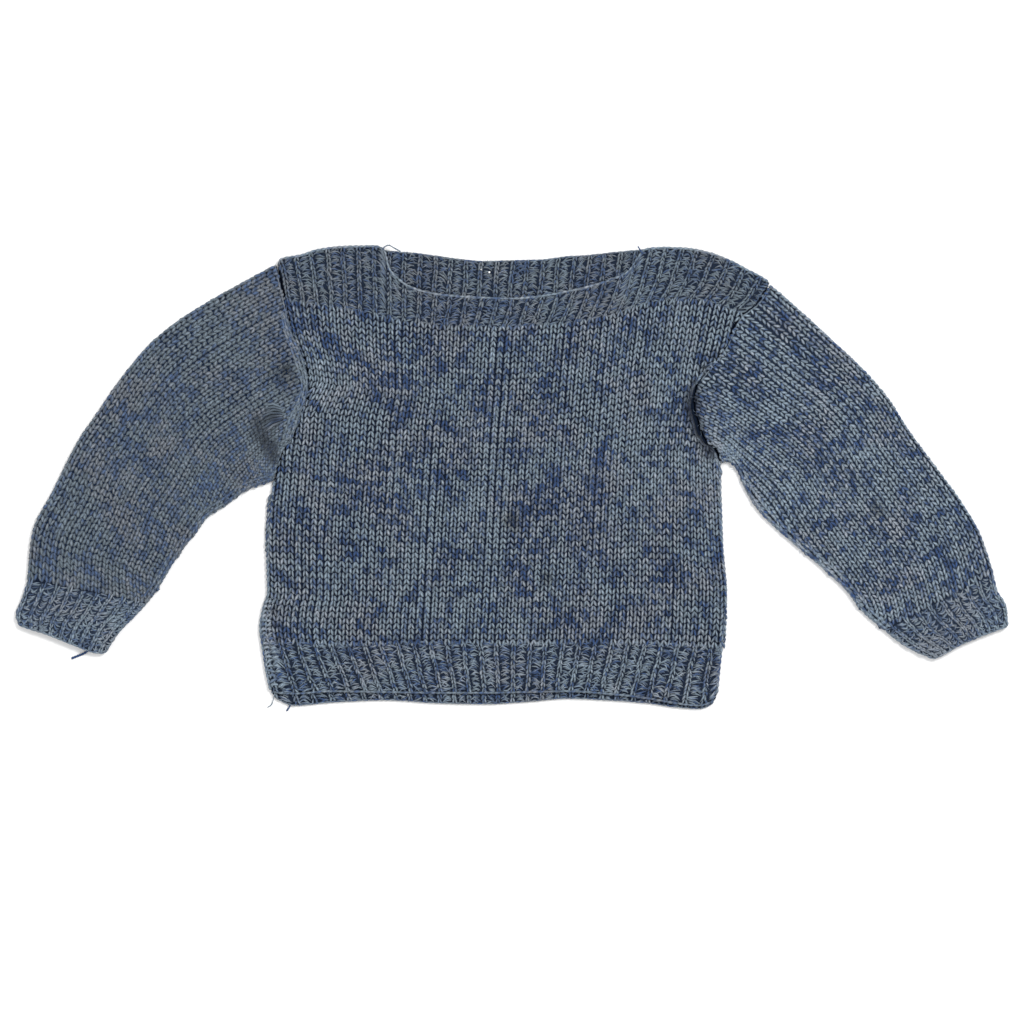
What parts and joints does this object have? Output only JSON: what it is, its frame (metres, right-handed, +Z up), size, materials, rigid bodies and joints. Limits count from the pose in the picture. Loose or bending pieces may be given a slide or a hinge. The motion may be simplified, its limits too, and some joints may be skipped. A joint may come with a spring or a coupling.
{
  "type": "knitted pullover sweater",
  "caption": "Small child's hand-knitted pullover laid flat on its back, with a ribbed boat neck, ribbed hem and cuffs, and long sleeves spread out to the sides.",
  "frame": {"origin": "on the surface that the pullover lies on, under the middle of its outline's box", "axes": "+X from the left cuff in the picture to the right one, +Y from the hem to the neck, +Z up from the surface"},
  "size_m": [0.6258, 0.2904, 0.011],
  "materials": {
    "body_yarn": "marled grey-green and blue wool, knitted in stocking stitch, soft and matte",
    "band_yarn": "the same marled wool, knitted in ribs of one knit and one purl stitch, matte"
  },
  "bodies": {
    "root": {"front": "body_yarn", "back": "body_yarn", "sleeve_left": "body_yarn", "sleeve_right": "body_yarn", "hem_front": "band_yarn", "hem_back": "band_yarn", "neckband_front": "band_yarn", "neckband_back": "band_yarn", "cuff_left": "band_yarn", "cuff_right": "band_yarn"}
  },
  "joints": []
}
